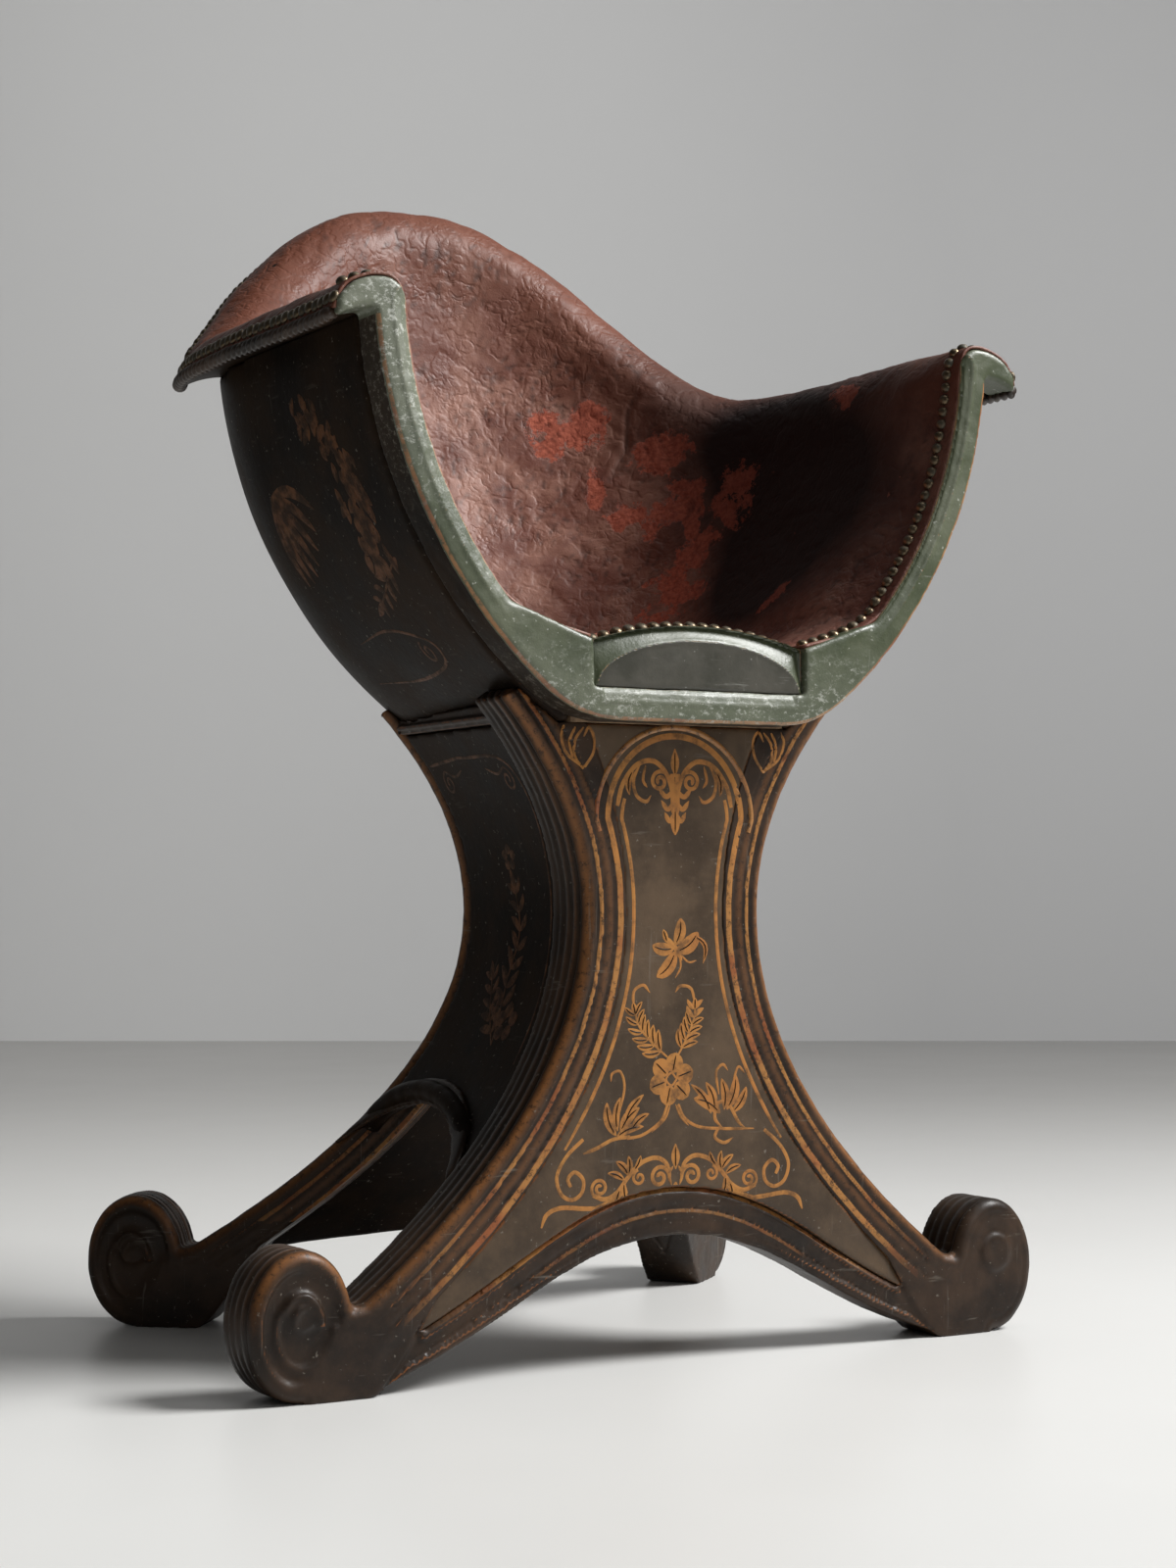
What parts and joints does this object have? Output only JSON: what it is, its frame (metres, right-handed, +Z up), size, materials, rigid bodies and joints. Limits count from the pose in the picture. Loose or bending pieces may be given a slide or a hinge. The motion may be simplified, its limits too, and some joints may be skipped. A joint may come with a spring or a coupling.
{
  "type": "gondola chair",
  "caption": "Painted tub chair with a leather-lined bucket seat, a rolled rim rising to a crest, a lift-up seat lid and a waisted pedestal on scroll feet.",
  "frame": {"origin": "on the floor under the middle of the overall box", "axes": "+X to the right seen from the front, front faces -Y, +Z up"},
  "size_m": [0.584, 0.4376, 0.8111],
  "materials": {
    "dark_paint": "worn green-black paint under varnish",
    "green_paint": "worn olive paint, ochre at the edges",
    "bare_wood": "old unpainted softwood",
    "leather": "aged oxblood leather, wrinkled and worn",
    "hinge_brass": "dull aged brass"
  },
  "bodies": {
    "chair": {"front_right_leg": "dark_paint", "front_left_leg": "dark_paint", "rear_right_leg": "dark_paint", "rear_left_leg": "dark_paint", "front_apron": "dark_paint", "front_panel": "dark_paint", "right_side_panel": "dark_paint", "left_side_panel": "dark_paint", "right_arch_moulding": "dark_paint", "left_arch_moulding": "dark_paint", "right_collar_moulding": "dark_paint", "left_collar_moulding": "dark_paint", "back_panel": "dark_paint", "right_arm_wall": "dark_paint", "left_arm_wall": "dark_paint", "right_back_wall": "dark_paint", "left_back_wall": "dark_paint", "back_wall": "dark_paint", "right_arm_rail": "dark_paint", "left_arm_rail": "dark_paint", "right_back_rail": "dark_paint", "left_back_rail": "dark_paint", "crest_rail": "dark_paint", "front_rail": "green_paint", "right_front_post": "green_paint", "left_front_post": "green_paint", "right_scroll_end": "green_paint", "left_scroll_end": "green_paint", "right_cheek": "green_paint", "left_cheek": "green_paint", "seat_board": "bare_wood", "top_board": "bare_wood", "compartment_floor": "bare_wood", "rear_ledge": "bare_wood", "right_arm_lining": "leather", "left_arm_lining": "leather", "right_back_lining": "leather", "left_back_lining": "leather", "back_lining": "leather", "hinge_fixed_leaves": "hinge_brass", "hinge_pins": "hinge_brass"},
    "seat_lid": {"lid_board": "bare_wood", "lid_block": "green_paint", "lid_cushion": "leather", "hinge_lid_leaves": "hinge_brass"}
  },
  "joints": [
    {"name": "lid_hinge", "type": "hinge", "parent": "chair", "child": "seat_lid", "pos_m": [0, -0.00377, 0.4423], "axis": [-1, 0, 0], "range_deg": [0, 100]}
  ]
}
